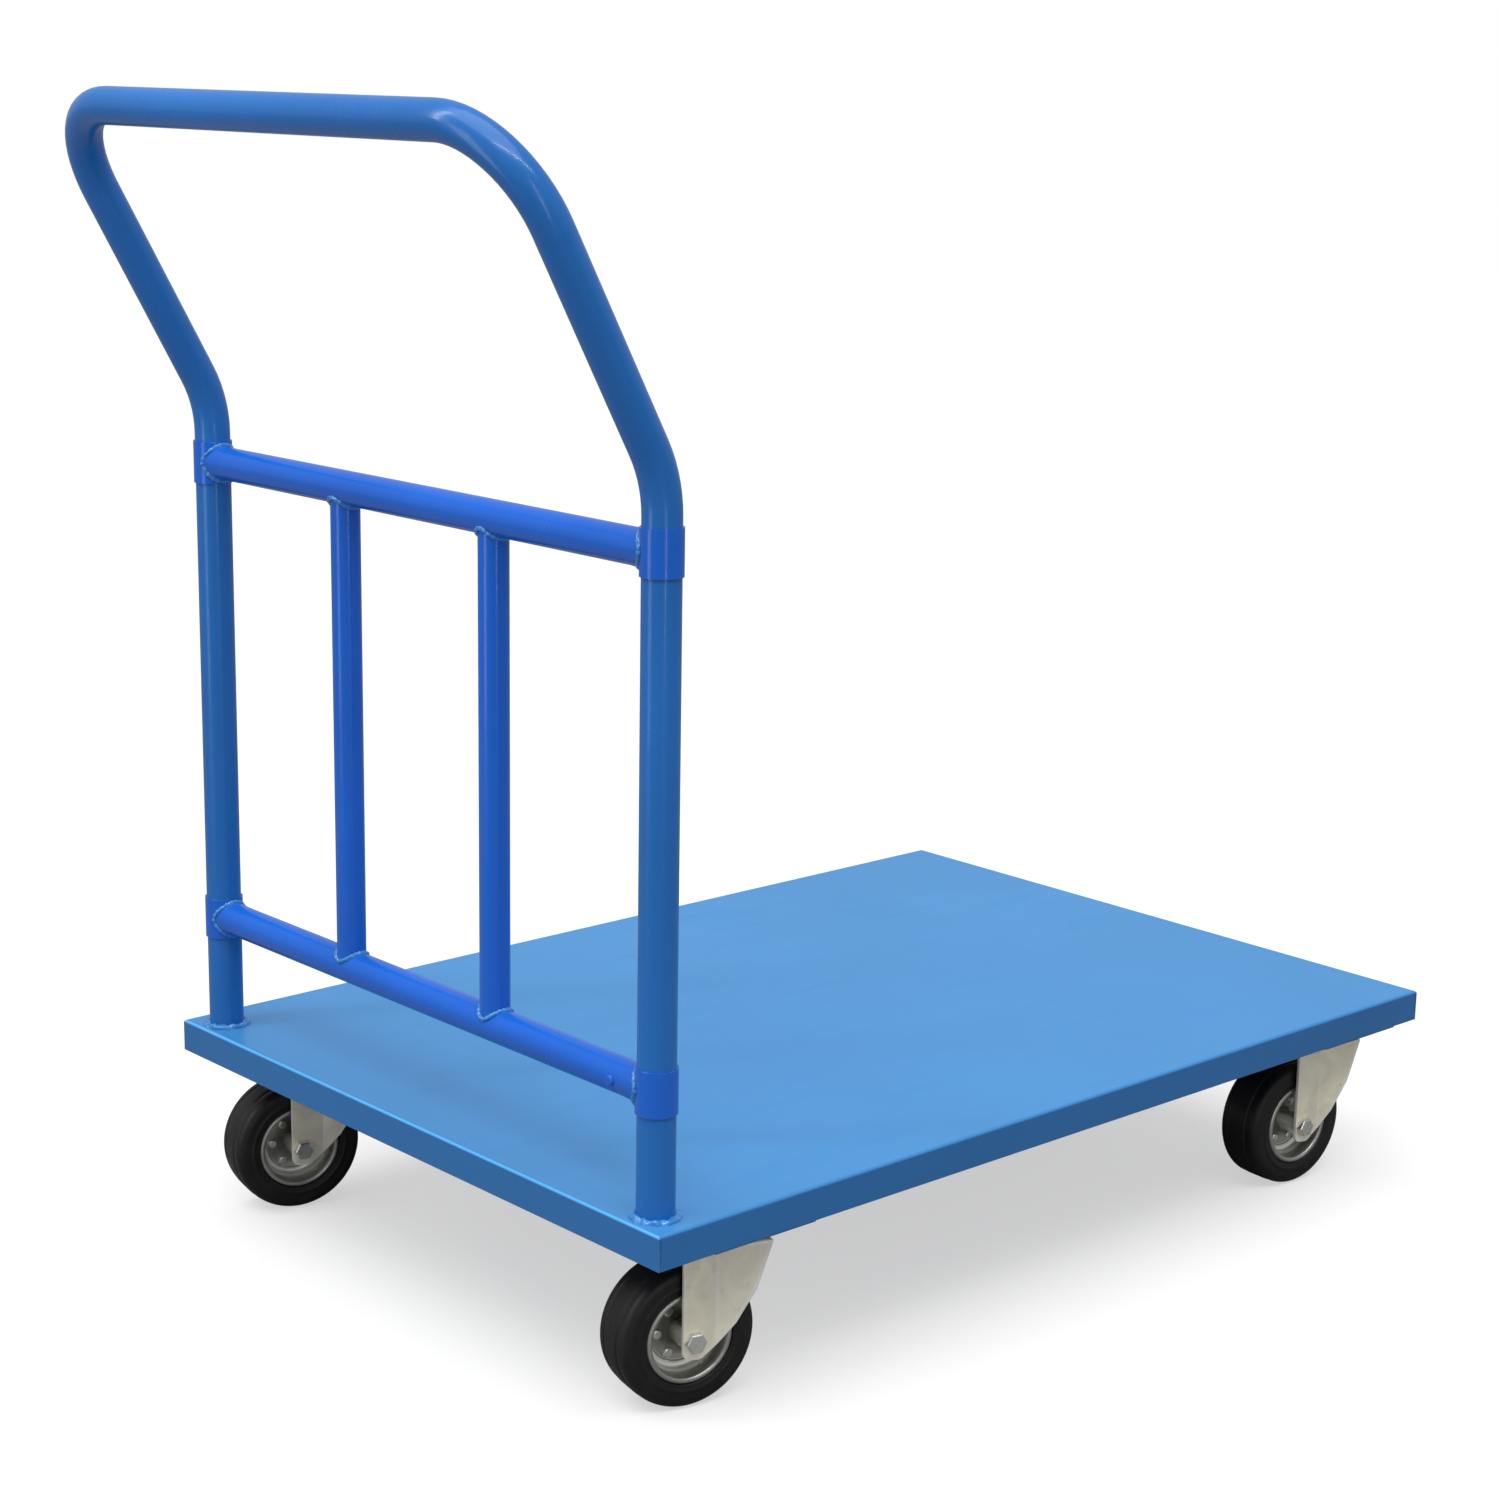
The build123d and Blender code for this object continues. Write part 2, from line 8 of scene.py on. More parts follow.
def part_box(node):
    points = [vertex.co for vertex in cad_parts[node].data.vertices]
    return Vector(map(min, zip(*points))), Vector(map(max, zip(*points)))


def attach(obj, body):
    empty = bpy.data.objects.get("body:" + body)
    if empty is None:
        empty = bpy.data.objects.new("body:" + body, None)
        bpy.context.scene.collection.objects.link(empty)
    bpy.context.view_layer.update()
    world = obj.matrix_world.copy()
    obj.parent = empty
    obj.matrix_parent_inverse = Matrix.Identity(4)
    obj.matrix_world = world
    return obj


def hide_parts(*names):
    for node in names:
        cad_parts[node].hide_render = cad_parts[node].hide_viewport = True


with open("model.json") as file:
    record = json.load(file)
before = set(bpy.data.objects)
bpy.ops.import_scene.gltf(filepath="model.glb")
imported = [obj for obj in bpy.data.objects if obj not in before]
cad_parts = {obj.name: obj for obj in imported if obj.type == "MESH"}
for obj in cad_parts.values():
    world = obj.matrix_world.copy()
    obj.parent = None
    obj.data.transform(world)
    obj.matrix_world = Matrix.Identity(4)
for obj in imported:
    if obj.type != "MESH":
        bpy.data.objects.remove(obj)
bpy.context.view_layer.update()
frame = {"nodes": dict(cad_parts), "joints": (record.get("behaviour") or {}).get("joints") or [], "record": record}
nodes = frame["nodes"]
joints = {joint["name"]: joint for joint in frame["joints"]}
corners = ("rear_left", "rear_right", "front_left", "front_right")
mm = 0.001

# Camera, at the photograph's viewing angle
camera_place = Vector((-1.8506, -2.0056, 1.0891))
camera_azimuth = math.radians(-42.307)
camera_drop = math.radians(13.125)
camera_roll = math.radians(0.961)
camera_lens = 71.2

# Light, as radiance beside a pure white of 1
room_glow = 0.46
backdrop_glow = 1.0
key_strength = 2.45
key_spread = math.radians(70)
key_way = Vector((0.16, 0.12, -1.0))
floor_pale = (0.40, 0.40, 0.395)
floor_bounce = (0.22, 0.22, 0.23)
floor_lift = 0.55

# Paint, steel and rubber colours, linear
# The lips and the deck top are one paint: the lips take the darker copy, the top the lighter one, painted light
# from above
lip_blue = (0.018, 0.135, 0.370)
deck_blue = (0.040, 0.225, 0.52)
# A painted highlight colour for the deck's folded edges
fold_highlight_blue = (0.090, 0.400, 0.80)
tube_blue = (0.010, 0.125, 0.42)
guard_blue = (0.006, 0.105, 0.53)
weld_blue = (0.022, 0.185, 0.50)
under_blue = (0.020, 0.150, 0.40)
primer_grey = (0.30, 0.36, 0.42)
zinc_warm = (0.97, 0.90, 0.71)
zinc_cool = (0.68, 0.685, 0.64)
# The rims' zinc, darkened as painted shade from beneath the deck
zinc_shaded = (0.40, 0.405, 0.375)
ring_bright = (0.74, 0.74, 0.70)
# The painted highlight colour for the fork's crease and the rims' rolled ring
zinc_highlight = (0.96, 0.95, 0.90)
rubber_black = (0.0035, 0.0035, 0.0042)
rubber_dust = (0.013, 0.0105, 0.0085)

# Wheel sizes as in the part's source, but for the rims' rolled ring, which is a little larger
wheel_low, wheel_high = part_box("tyre_rear_left")
wheel_radius = (wheel_high.z - wheel_low.z) / 2
rim_radius = 36 * mm
tyre_half = 25 * mm
heel_width = 5.5 * mm
heel_rise = 4.4 * mm
bore_radius = 10 * mm
web_inner = 2 * mm
rim_wall = 2 * mm
web_outer = web_inner + rim_wall
rolled_radius = 2.7 * mm
rolled_offset = 21.9 * mm
wheel_segments = 144

# Weld beads, laid a little outside the tubes that they join; each is a round of drops
collar_wall = 1.5 * mm
rail_radius = 15 * mm
foot_bead_radius = 4.0 * mm
foot_bead_out = 1.9 * mm
foot_bead_sunk = 0.3 * mm
foot_bead_seat = 1.0 * mm
foot_drops = 13
frame_bead_radius = 2.1 * mm
frame_drops = 22
bar_bead_out = 0.5 * mm
rail_bead_out = 0.2 * mm
collar_bead_out = 0.6 * mm


class Shader:
    """A node material around one Principled shader, textured in the piece's own space."""

    def __init__(self, name):
        self.material = bpy.data.materials.new(name)
        self.material.use_nodes = True
        self.tree = self.material.node_tree
        self.tree.nodes.clear()
        output = self.node("ShaderNodeOutputMaterial")
        self.surface = self.node("ShaderNodeBsdfPrincipled")
        self.join(self.surface.outputs["BSDF"], output.inputs["Surface"])
        self.place = self.node("ShaderNodeTexCoord").outputs["Object"]

    def node(self, kind, **settings):
        made = self.tree.nodes.new(kind)
        for key, value in settings.items():
            setattr(made, key, value)
        return made

    def join(self, source, target):
        self.tree.links.new(source, target)

    def feed(self, node, **values):
        """Sets inputs by name, from a link or a constant."""
        for key, value in values.items():
            target = node.inputs[key.replace("_", " ")]
            if isinstance(value, bpy.types.NodeSocket):
                self.join(value, target)
            else:
                target.default_value = value
        return node

    def stretched(self, scales):
        mapping = self.node("ShaderNodeMapping")
        self.feed(mapping, Vector=self.place, Scale=scales)
        return mapping.outputs["Vector"]

    def noise(self, scale, detail=2.0, stretch=None, distortion=0.0):
        made = self.node("ShaderNodeTexNoise")
        place = self.stretched(stretch) if stretch else self.place
        self.feed(made, Vector=place, Scale=scale, Detail=detail, Distortion=distortion)
        return made.outputs["Fac"]

    def facing(self):
        """How far the surface faces forward, left and up in the piece's own space."""
        made = self.node("ShaderNodeSeparateXYZ")
        self.join(self.node("ShaderNodeTexCoord").outputs["Normal"], made.inputs[0])
        return made.outputs

    def span(self, value, low, high, start=0.0, end=1.0):
        made = self.node("ShaderNodeMapRange", clamp=True)
        self.feed(made, Value=value)
        self.feed(made, From_Min=low, From_Max=high, To_Min=start, To_Max=end)
        return made.outputs["Result"]

    def times(self, first, second):
        made = self.node("ShaderNodeMath", operation="MULTIPLY")
        for socket, value in zip(made.inputs, (first, second)):
            if isinstance(value, bpy.types.NodeSocket):
                self.join(value, socket)
            else:
                socket.default_value = value
        return made.outputs[0]

    def plus(self, first, second):
        made = self.node("ShaderNodeMath", operation="ADD")
        self.join(first, made.inputs[0])
        self.join(second, made.inputs[1])
        return made.outputs[0]

    def mix(self, factor, first, second):
        made = self.node("ShaderNodeMix", data_type="RGBA")
        sockets = (made.inputs[0], made.inputs[6], made.inputs[7])
        for socket, value in zip(sockets, (factor, first, second)):
            if isinstance(value, bpy.types.NodeSocket):
                self.join(value, socket)
            elif isinstance(value, tuple):
                socket.default_value = (*value, 1.0)
            else:
                socket.default_value = value
        return made.outputs[2]

    def rounded(self, radius):
        made = self.node("ShaderNodeBevel", samples=4)
        self.feed(made, Radius=radius)
        return made.outputs["Normal"]

    def edges(self, radius, faint=0.12, full=0.5):
        """About 1 on the object's outer and inner edges, 0 on its flats."""
        across = self.node("ShaderNodeVectorMath", operation="DISTANCE")
        self.join(self.rounded(radius), across.inputs[0])
        self.join(self.node("ShaderNodeNewGeometry").outputs["Normal"], across.inputs[1])
        return self.span(across.outputs["Value"], faint, full)

    def relief(self, height, depth, edge_radius):
        made = self.node("ShaderNodeBump")
        soft = self.rounded(edge_radius)
        self.feed(made, Height=height, Distance=depth, Strength=1.0, Normal=soft)
        self.feed(self.surface, Normal=made.outputs["Normal"])


def scaled(colour, factor):
    return tuple(min(1.0, part * factor) for part in colour)


def paint(name, colour, roughness, coat, peel_depth, wear, clouding=0.08, bloom_and_lit_top=None, fold_highlight=None):
    """Sprayed enamel: cloudy film, orange peel, fine dust specks and thin worn edges.

    Level tops take a lighter copy of the colour, painted light falling from above, and folded edges
    a brighter one, a painted highlight, which shows most at the handle end.
    """
    made = Shader(name)
    cloud = made.span(made.noise(4.0, 4.0, distortion=0.6), 0.3, 0.7)
    film = made.mix(cloud, scaled(colour, 1 - clouding), scaled(colour, 1 + clouding))
    if bloom_and_lit_top:
        ahead, _, level = made.facing()
        lit_top_film = made.mix(cloud, scaled(bloom_and_lit_top, 1 - clouding), scaled(bloom_and_lit_top, 1 + clouding))
        # Level tops are mixed toward the lighter copy, painted light from above
        film = made.mix(made.span(level, 0.80, 0.99), film, lit_top_film)
        # The folded edges are painted with a highlight, most at the handle end and less on the sides
        fold_highlight_band = made.times(made.span(level, 0.10, 0.55), made.span(level, 0.995, 0.80))
        film = made.mix(made.times(fold_highlight_band, made.span(ahead, -0.5, -0.2, 1.0, 0.3)), film, fold_highlight)
    specks = made.span(made.noise(700.0, 1.0), 0.68, 0.80, 0.0, 0.35)
    film = made.mix(specks, film, scaled(bloom_and_lit_top or colour, 1.5))
    chips = made.span(made.noise(90.0, 5.0), 0.52, 0.66)
    worn = made.times(made.times(made.edges(1.6 * mm), chips), wear)
    rubs = made.span(made.noise(7.0, 5.0, stretch=(1.0, 4.0, 1.0)), 0.55, 0.75)
    made.feed(made.surface, Base_Color=made.mix(worn, film, primer_grey))
    made.feed(made.surface, Roughness=made.span(rubs, 0.0, 1.0, roughness, roughness + 0.10))
    made.surface.inputs["Specular IOR Level"].default_value = 0.30
    made.surface.inputs["Coat Weight"].default_value = coat
    made.surface.inputs["Coat Roughness"].default_value = 0.06
    ripple = made.times(made.noise(55.0, 2.0), 1.6)
    made.relief(made.plus(made.noise(260.0, 1.0), ripple), peel_depth, 0.5 * mm)
    return made.material


def zinc(name, tint, roughness, brush, grain_depth, metallic=1.0, crease_highlight=0.0, rolled_highlight=False):
    """Plated pressed steel: warm and cool patches, brushing and rubbed edges.

    A painted highlight can be laid along shallow bends, and another on tightly curved rings.
    """
    made = Shader(name)
    drift = made.span(made.noise(26.0, 4.0, distortion=1.2), 0.32, 0.68)
    film = made.mix(drift, scaled(tint, 0.86), scaled(tint, 1.08))
    film = made.mix(made.span(made.noise(11.0, 3.0), 0.45, 0.75, 0.0, 0.5), film, zinc_cool)
    stain = made.span(made.noise(70.0, 6.0), 0.60, 0.72, 0.0, 0.45)
    film = made.mix(stain, film, scaled(tint, 0.55))
    film = made.mix(made.times(made.edges(1.2 * mm), 0.6), film, ring_bright)
    # A painted highlight along shallow bends, such as the fork's crease
    if crease_highlight:
        film = made.mix(made.times(made.edges(4.5 * mm, 0.008, 0.035), crease_highlight), film, zinc_highlight)
    # A painted highlight on tightly curved rings, such as the rims' rolled ring
    if rolled_highlight:
        curve = made.node("ShaderNodeNewGeometry").outputs["Pointiness"]
        film = made.mix(made.span(curve, 0.502, 0.512), film, zinc_highlight)
    lines = made.noise(420.0, 3.0, stretch=brush)
    made.feed(made.surface, Base_Color=film, Metallic=metallic)
    patch = made.plus(made.times(drift, 0.12), made.times(made.span(lines, 0.3, 0.7), 0.10))
    made.feed(made.surface, Roughness=made.span(patch, 0.0, 0.22, roughness, roughness + 0.16))
    made.relief(made.plus(lines, made.times(made.noise(40.0, 2.0), 2.0)), grain_depth, 0.6 * mm)
    return made.material


def rubber(name):
    """Black tyre rubber with dust in its texture and a dull scuffed bloom."""
    made = Shader(name)
    bloom_and_lit_top = made.span(made.noise(34.0, 5.0, distortion=0.8), 0.42, 0.72)
    grime = made.span(made.noise(160.0, 4.0), 0.55, 0.75, 0.0, 0.7)
    film = made.mix(made.times(bloom_and_lit_top, 0.55), rubber_black, rubber_dust)
    film = made.mix(grime, film, scaled(rubber_dust, 1.25))
    film = made.mix(made.times(made.edges(1.5 * mm), 0.5), film, scaled(rubber_dust, 1.8))
    made.feed(made.surface, Base_Color=film, Roughness=made.span(bloom_and_lit_top, 0.0, 1.0, 0.42, 0.62))
    made.surface.inputs["Specular IOR Level"].default_value = 0.36
    scuffs = made.times(made.noise(140.0, 3.0), 1.5)
    made.relief(made.plus(made.noise(1200.0, 2.0), scuffs), 0.12 * mm, 0.5 * mm)
    return made.material


# The deck's top is painted lighter than its lips as painted light, and its folds take a painted highlight
deck_paint = paint(
    "deck_paint", lip_blue, roughness=0.34, coat=0.12, peel_depth=0.015 * mm, wear=0.20,
    clouding=0.035, bloom_and_lit_top=deck_blue, fold_highlight=fold_highlight_blue,
)
tube_paint = paint(
    "tube_paint", tube_blue, roughness=0.26, coat=0.16, peel_depth=0.012 * mm, wear=0.35,
)
guard_paint = paint(
    "guard_paint", guard_blue, roughness=0.22, coat=0.18, peel_depth=0.012 * mm, wear=0.35,
)
weld_paint = paint(
    "weld_paint", weld_blue, roughness=0.18, coat=0.80, peel_depth=0.20 * mm, wear=0.20,
)
frame_paint = paint(
    "underframe_paint", under_blue, roughness=0.40, coat=0.10, peel_depth=0.10 * mm, wear=0.60,
)
# Brush is the stretch of the brushing marks along each axis
plate_zinc = zinc(
    "zinc_plate", zinc_cool, roughness=0.26, brush=(1.0, 0.06, 1.0), grain_depth=0.04 * mm,
)
# The fork's crease takes a painted highlight
fork_zinc = zinc(
    "zinc_fork", zinc_warm, roughness=0.30, brush=(1.0, 1.0, 0.05), grain_depth=0.04 * mm,
    metallic=0.35, crease_highlight=0.8,
)
# The rims take the darkened zinc as painted shade, with a painted highlight on the rolled ring
rim_zinc = zinc(
    "zinc_rim", zinc_shaded, roughness=0.30, brush=(0.3, 1.0, 0.3), grain_depth=0.015 * mm,
    metallic=0.9, rolled_highlight=True,
)
ball_steel = zinc(
    "ball_steel", ring_bright, roughness=0.10, brush=(1.0, 1.0, 1.0), grain_depth=0.005 * mm,
)
fastener_zinc = zinc(
    "zinc_fastener", ring_bright, roughness=0.22, brush=(1.0, 1.0, 1.0), grain_depth=0.03 * mm,
)
slots = {
    "deck_blue": deck_paint,
    "tube_blue": tube_paint,
    "guard_blue": guard_paint,
    "weld_blue": weld_paint,
    "frame_blue": frame_paint,
    "zinc": plate_zinc,
    "zinc_fork": fork_zinc,
    "rim_steel": rim_zinc,
    "ball_steel": ball_steel,
    "fastener": fastener_zinc,
    "rubber": rubber("tyre_rubber"),
}


def paint_nodes():
    """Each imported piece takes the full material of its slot."""
    for subpart in frame["record"]["subparts"]:
        node = nodes[subpart["node"]]
        node.data.materials.clear()
        node.data.materials.append(slots[subpart["material_slot"]])


def new_piece(name, vertices, faces, slot, body, *replaced):
    mesh = bpy.data.meshes.new(name)
    mesh.from_pydata(vertices, [], faces)
    mesh.validate()
    mesh.shade_smooth()
    mesh.materials.append(slots[slot])
    piece = bpy.data.objects.new(name, mesh)
    bpy.context.scene.collection.objects.link(piece)
    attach(piece, body)
    if replaced:
        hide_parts(*replaced)
    return piece


def ring_faces(around, along):
    """Quads between closed rings of points, the last ring joined to the first."""
    faces = []
    for ring in range(along):
        following = (ring + 1) % along
        for step in range(around):
            ahead = (step + 1) % around
            faces.append((
                ring * around + step,
                ring * around + ahead,
                following * around + ahead,
                following * around + step,
            ))
    return faces


# Weld beads, lumpy rings laid as overlapping drops

def bead(path, radius, drops, seed, seat):
    """Closed bead along a closed path, rippled once for each drop, cut flat below its seat."""
    around = 20
    vertices = []
    count = len(path)
    for index, point in enumerate(path):
        run = (path[(index + 1) % count] - path[index - 1]).normalized()
        # A level side, wherever the path isn't upright, keeps the section from twisting
        side = run.orthogonal().normalized()
        steady = Vector((0, 0, 1)).cross(run)
        if steady.length > 0.2:
            side = steady.normalized()
        rise = run.cross(side)
        turn = 2 * math.pi * index / count
        for step in range(around):
            angle = 2 * math.pi * step / around
            drop = math.sin(drops * turn + 0.9 * math.cos(angle))
            lump = noise.noise(point * 110 + Vector((seed, seed, angle)))
            grain = noise.noise(point * 420 + Vector((seed, angle, seed)))
            size = radius * (1 + 0.11 * drop + 0.34 * lump + 0.12 * grain)
            spot = point + size * (math.cos(angle) * side + math.sin(angle) * rise)
            spot.z = max(spot.z, seat)
            vertices.append(spot)
    return vertices, ring_faces(around, count)


def beads(name, paths, radius, drops, seat, *replaced):
    vertices, faces = [], []
    for seed, path in enumerate(paths):
        more, quads = bead(path, radius, drops, seed * 3.7, seat)
        faces += [tuple(corner + len(vertices) for corner in quad) for quad in quads]
        vertices += more
    return new_piece(name, vertices, faces, "weld_blue", "chassis", *replaced)


def turned(count):
    return (2 * math.pi * index / count for index in range(count))


def make_welds():
    deck_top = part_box("deck_tray")[1].z
    posts = [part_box(f"collar_upper_{side}") for side in ("right", "left")]
    collar_radius = (posts[0][1].x - posts[0][0].x) / 2
    foot_radius = collar_radius - collar_wall + foot_bead_out
    feet = []
    for low, high in posts:
        centre = (low + high) / 2
        centre.z = deck_top - foot_bead_sunk
        feet.append([
            centre + foot_radius * Vector((math.cos(turn), math.sin(turn), 0.0))
            for turn in turned(160)
        ])
    foot_seat = deck_top - foot_bead_seat
    beads("foot_weld_beads", feet, foot_bead_radius, foot_drops, foot_seat, "foot_welds")

    bar_low, bar_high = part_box("bar_left")
    around_bar = (bar_high.x - bar_low.x) / 2 + bar_bead_out
    flare_low, flare_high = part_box("upper_rail")
    around_rail = (flare_high.z - flare_low.z) / 2 + rail_bead_out
    on_rail = rail_radius + bar_bead_out
    on_collar = collar_radius + collar_bead_out
    seams = []
    for name, way in (("upper", -1), ("lower", 1)):
        rail_low, rail_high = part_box(f"{name}_rail")
        rail = (rail_low + rail_high) / 2
        for side in ("left", "right"):
            low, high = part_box(f"bar_{side}")
            bar_y = (low.y + high.y) / 2
            seam = []
            for turn in turned(120):
                x = around_bar * math.cos(turn)
                y = around_bar * math.sin(turn)
                z = way * math.sqrt(on_rail**2 - x**2)
                seam.append(Vector((rail.x + x, bar_y + y, rail.z + z)))
            seams.append(seam)
        for low, high in posts:
            post_y = (low.y + high.y) / 2
            inward = -math.copysign(1, post_y)
            seam = []
            for turn in turned(140):
                x = around_rail * math.cos(turn)
                y = inward * math.sqrt(on_collar**2 - x**2)
                z = around_rail * math.sin(turn)
                seam.append(Vector((rail.x + x, post_y + y, rail.z + z)))
            seams.append(seam)
    beads("frame_weld_beads", seams, frame_bead_radius, frame_drops, deck_top, "frame_welds")


# Wheels, turned about the axle that each wheel's joint states

def wheel_frame(corner):
    """The wheel's own axes: its centre, its axle as Y and up as Z."""
    joint = joints[f"spin_{corner}"]
    axle = Vector(joint["axis"]).normalized()
    forward = axle.cross(Vector((0, 0, 1))).normalized()
    turn = Matrix((forward, axle, forward.cross(axle))).transposed().to_4x4()
    return Matrix.Translation(Vector(joint["pos_m"])) @ turn


def arc(centre, radius, start, end, steps):
    """Points on an arc, each a radius from the axle and an offset along it.

    An angle of 0 points along the axle, away from the wheel's middle, and 90 away from the axle.
    """
    points = []
    for index in range(steps + 1):
        angle = math.radians(start + (end - start) * index / steps)
        points.append((centre[0] + radius * math.sin(angle), centre[1] + radius * math.cos(angle)))
    return points


def spun(profile, place, segments):
    """Closed ring made by turning a closed profile about the axle."""
    vertices = []
    for turn in turned(segments):
        for radius, offset in profile:
            spot = Vector((radius * math.cos(turn), offset, radius * math.sin(turn)))
            vertices.append(place @ spot)
    return vertices, ring_faces(len(profile), segments)


def tyre_profile():
    """Half of the tyre's section from the middle of its tread to the middle of its seat."""
    flat_half = 4 * mm
    shoulder = 8.5 * mm
    groove_at = 11 * mm
    groove_half = 1.3 * mm
    groove_deep = 1.3 * mm
    lip = 0.45 * mm
    rib_at = 46.5 * mm
    rib_half = 1.3 * mm
    rib_rise = 0.45 * mm
    heel_round = 1.2 * mm
    face = tyre_half - 0.6 * mm
    groove_floor = wheel_radius - groove_deep
    seat_edge = tyre_half - heel_width
    heel = rim_radius + heel_rise
    tread = [
        (wheel_radius, 0.0),
        (wheel_radius, flat_half),
        (wheel_radius, groove_at - groove_half - lip),
        (wheel_radius - 0.25 * lip, groove_at - groove_half - 0.25 * lip),
        (groove_floor, groove_at - 0.6 * groove_half),
        (groove_floor, groove_at + 0.6 * groove_half),
        (wheel_radius - 0.9 * lip, groove_at + groove_half),
        (wheel_radius - lip, groove_at + groove_half + lip),
    ]
    crown = arc((wheel_radius - shoulder - lip, face - shoulder), shoulder, 90, 0, 12)
    rib = [
        (rib_at + 2.4 * rib_half, face),
        (rib_at + rib_half, face + 0.1 * rib_rise),
        (rib_at + 0.6 * rib_half, face + rib_rise),
        (rib_at - 0.6 * rib_half, face + rib_rise),
        (rib_at - rib_half, face + 0.1 * rib_rise),
    ]
    toe = arc((heel + heel_round, face - heel_round), heel_round, 0, -90, 5)
    seat = [(heel, seat_edge), (rim_radius, seat_edge), (rim_radius, 0.0)]
    return tread + crown + rib + toe + seat


def mirrored(half):
    """A closed profile from one half that starts and ends on the middle line."""
    return half + [(radius, -offset) for radius, offset in reversed(half[1:-1])]


def rim_profile():
    """Closed section of one pressed disc: web, ridge, dished wall, barrel and rolled ring."""
    dish = 5.5 * mm
    ridge_half = 1.4 * mm
    ridge_rise = 1.3 * mm
    inside_from, outside_to = 14 * mm, 10 * mm
    inside_gap, outside_gap = 2.4 * mm, 3.0 * mm
    rolled_at = rim_radius + rolled_radius / 2
    barrel = rim_radius - rim_wall
    ridge_at = barrel - dish - ridge_half
    web = [(bore_radius, web_outer)]
    for step in range(-6, 7):
        rise = ridge_rise * math.cos(math.pi / 12 * step) ** 2
        web.append((ridge_at + ridge_half * step / 6, web_outer + rise))
    web += arc((barrel - dish, web_outer + dish), dish, 180, 90, 8)[1:]
    inside = [(barrel, inside_from), (barrel, rolled_offset - inside_gap)]
    ring = arc((rolled_at, rolled_offset), rolled_radius, -70, 150, 16)
    outside = [(rim_radius, rolled_offset - outside_gap), (rim_radius, outside_to)]
    back = [(rim_radius, web_inner), (bore_radius, web_inner)]
    return web + inside + ring + outside + back


def make_wheels():
    tyre = mirrored(tyre_profile())
    rim = rim_profile()
    for corner in corners:
        place = wheel_frame(corner)
        body = f"wheel_{corner}"
        vertices, faces = spun(tyre, place, wheel_segments)
        new_piece(f"tyre_moulded_{corner}", vertices, faces, "rubber", body, f"tyre_{corner}")
        vertices, faces = spun(rim, place, wheel_segments)
        other = [(radius, -offset) for radius, offset in reversed(rim)]
        more, quads = spun(other, place, wheel_segments)
        faces += [tuple(point + len(vertices) for point in quad) for quad in quads]
        vertices += more
        new_piece(f"rim_pressed_{corner}", vertices, faces, "rim_steel", body, f"rim_{corner}")


# Stage, light and camera

def make_floor():
    """A round floor just under the wheels, pale to the camera and see-through from below."""
    reach, sides, sunk = 14.0, 96, 0.3 * mm
    mesh = bpy.data.meshes.new("floor")
    rim = [(reach * math.cos(turn), reach * math.sin(turn), -sunk) for turn in turned(sides)]
    mesh.from_pydata(rim, [], [tuple(range(sides))])
    floor = bpy.data.objects.new("floor", mesh)
    made = Shader("pale_floor")
    seen = made.node("ShaderNodeLightPath").outputs["Is Camera Ray"]
    tone = made.mix(seen, floor_bounce, floor_pale)
    made.feed(made.surface, Base_Color=tone, Roughness=0.9, Emission_Color=(1.0, 1.0, 1.0, 1.0))
    made.join(made.times(seen, floor_lift), made.surface.inputs["Emission Strength"])
    below = made.node("ShaderNodeNewGeometry").outputs["Backfacing"]
    made.join(made.span(below, 0.0, 1.0, 1.0, 0.0), made.surface.inputs["Alpha"])
    made.surface.inputs["Specular IOR Level"].default_value = 0.1
    mesh.materials.append(made.material)
    bpy.context.scene.collection.objects.link(floor)


def soft_light(name, place, target, width, depth, radiance):
    """A rectangular lamp that the camera doesn't see, aimed from place to target."""
    lamp = bpy.data.lights.new(name, "AREA")
    lamp.shape = "RECTANGLE"
    lamp.size = width
    lamp.size_y = depth
    lamp.energy = radiance * math.pi * width * depth
    light = bpy.data.objects.new(name, lamp)
    light.location = place
    light.visible_camera = False
    light.rotation_euler = (Vector(target) - Vector(place)).to_track_quat("-Z", "Y").to_euler()
    bpy.context.scene.collection.objects.link(light)


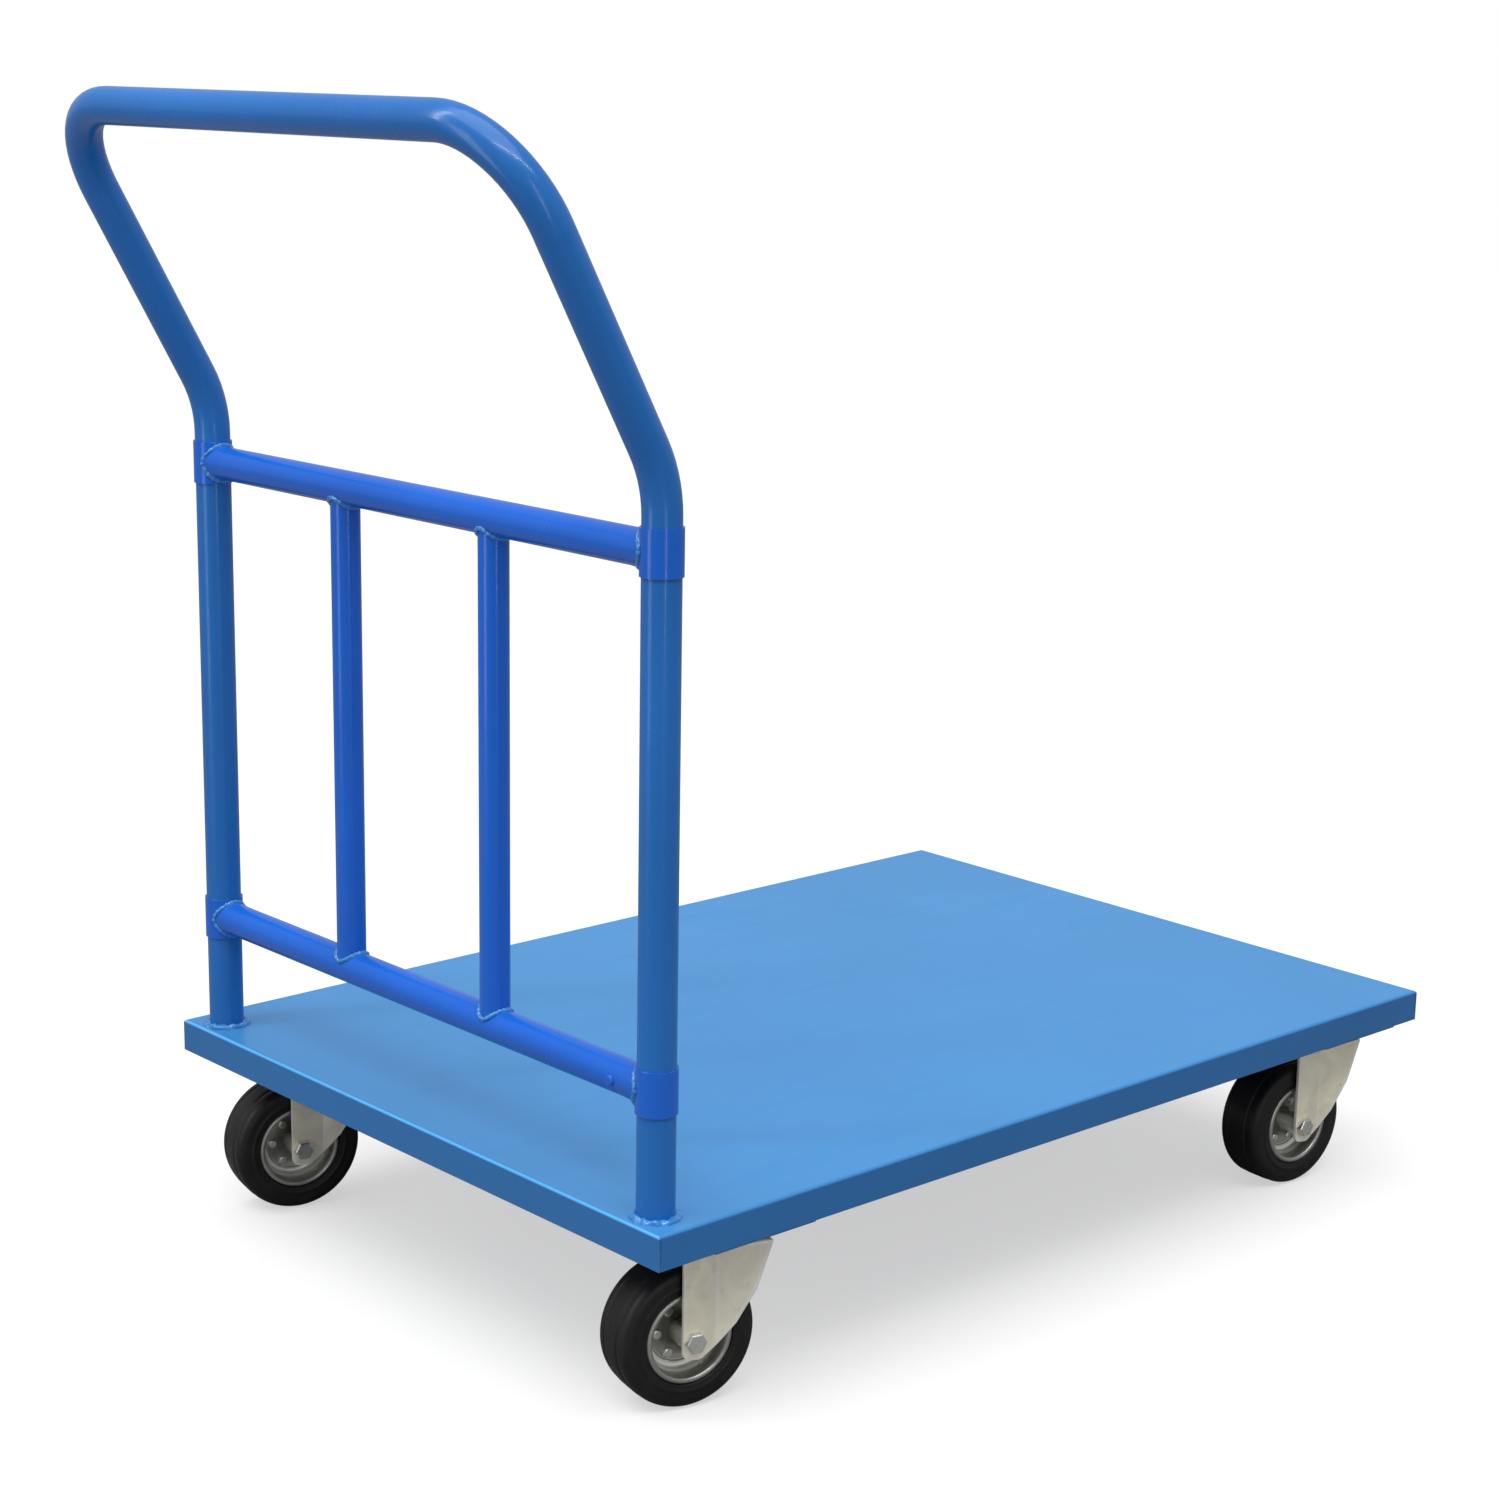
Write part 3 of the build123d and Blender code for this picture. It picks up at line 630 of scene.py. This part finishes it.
def make_light():
    """A pale room that looks brighter than the light it gives, one wide key and four strips."""
    world = bpy.data.worlds.new("pale_room")
    world.use_nodes = True
    tree = world.node_tree
    room = tree.nodes["Background"]
    room.inputs["Strength"].default_value = room_glow
    backdrop = tree.nodes.new("ShaderNodeBackground")
    for shade in (room, backdrop):
        shade.inputs["Color"].default_value = (1.0, 1.0, 1.0, 1.0)
    backdrop.inputs["Strength"].default_value = backdrop_glow
    choice = tree.nodes.new("ShaderNodeMixShader")
    seen = tree.nodes.new("ShaderNodeLightPath").outputs["Is Camera Ray"]
    tree.links.new(seen, choice.inputs["Fac"])
    tree.links.new(room.outputs[0], choice.inputs[1])
    tree.links.new(backdrop.outputs[0], choice.inputs[2])
    tree.links.new(choice.outputs[0], tree.nodes["World Output"].inputs["Surface"])
    bpy.context.scene.world = world
    sun = bpy.data.lights.new("key_wide", "SUN")
    sun.energy = key_strength
    sun.angle = key_spread
    key = bpy.data.objects.new("key_wide", sun)
    key.rotation_euler = key_way.to_track_quat("-Z", "Y").to_euler()
    bpy.context.scene.collection.objects.link(key)
    soft_light(
        "strip_near", place=(-0.9, -1.5, 2.6), target=(-0.4, -0.2, 0.8),
        width=2.4, depth=0.10, radiance=20.0,
    )
    soft_light(
        "strip_far", place=(-1.9, 0.9, 2.3), target=(-0.4, 0.0, 0.8),
        width=0.25, depth=1.8, radiance=11.0,
    )
    soft_light(
        "strip_side", place=(-1.26, -2.75, 1.0), target=(-0.4, -0.3, 0.5),
        width=0.16, depth=1.8, radiance=7.0,
    )
    soft_light(
        "strip_left", place=(-2.7, 0.4, 0.8), target=(-0.4, -0.3, 0.4),
        width=0.70, depth=1.8, radiance=2.6,
    )


def make_camera():
    ahead = Vector((
        -math.sin(camera_azimuth) * math.cos(camera_drop),
        math.cos(camera_azimuth) * math.cos(camera_drop),
        -math.sin(camera_drop),
    ))
    level = ahead.cross(Vector((0, 0, 1))).normalized()
    upright = level.cross(ahead)
    right = math.cos(camera_roll) * level + math.sin(camera_roll) * upright
    top = math.cos(camera_roll) * upright - math.sin(camera_roll) * level
    data = bpy.data.cameras.new("camera")
    data.lens = camera_lens
    camera = bpy.data.objects.new("camera", data)
    turn = Matrix((right, top, -ahead)).transposed().to_4x4()
    camera.matrix_world = Matrix.Translation(camera_place) @ turn
    bpy.context.scene.collection.objects.link(camera)
    bpy.context.scene.camera = camera


make_camera()
paint_nodes()
make_welds()
make_wheels()
make_floor()
make_light()
bpy.context.scene.view_settings.view_transform = "Standard"
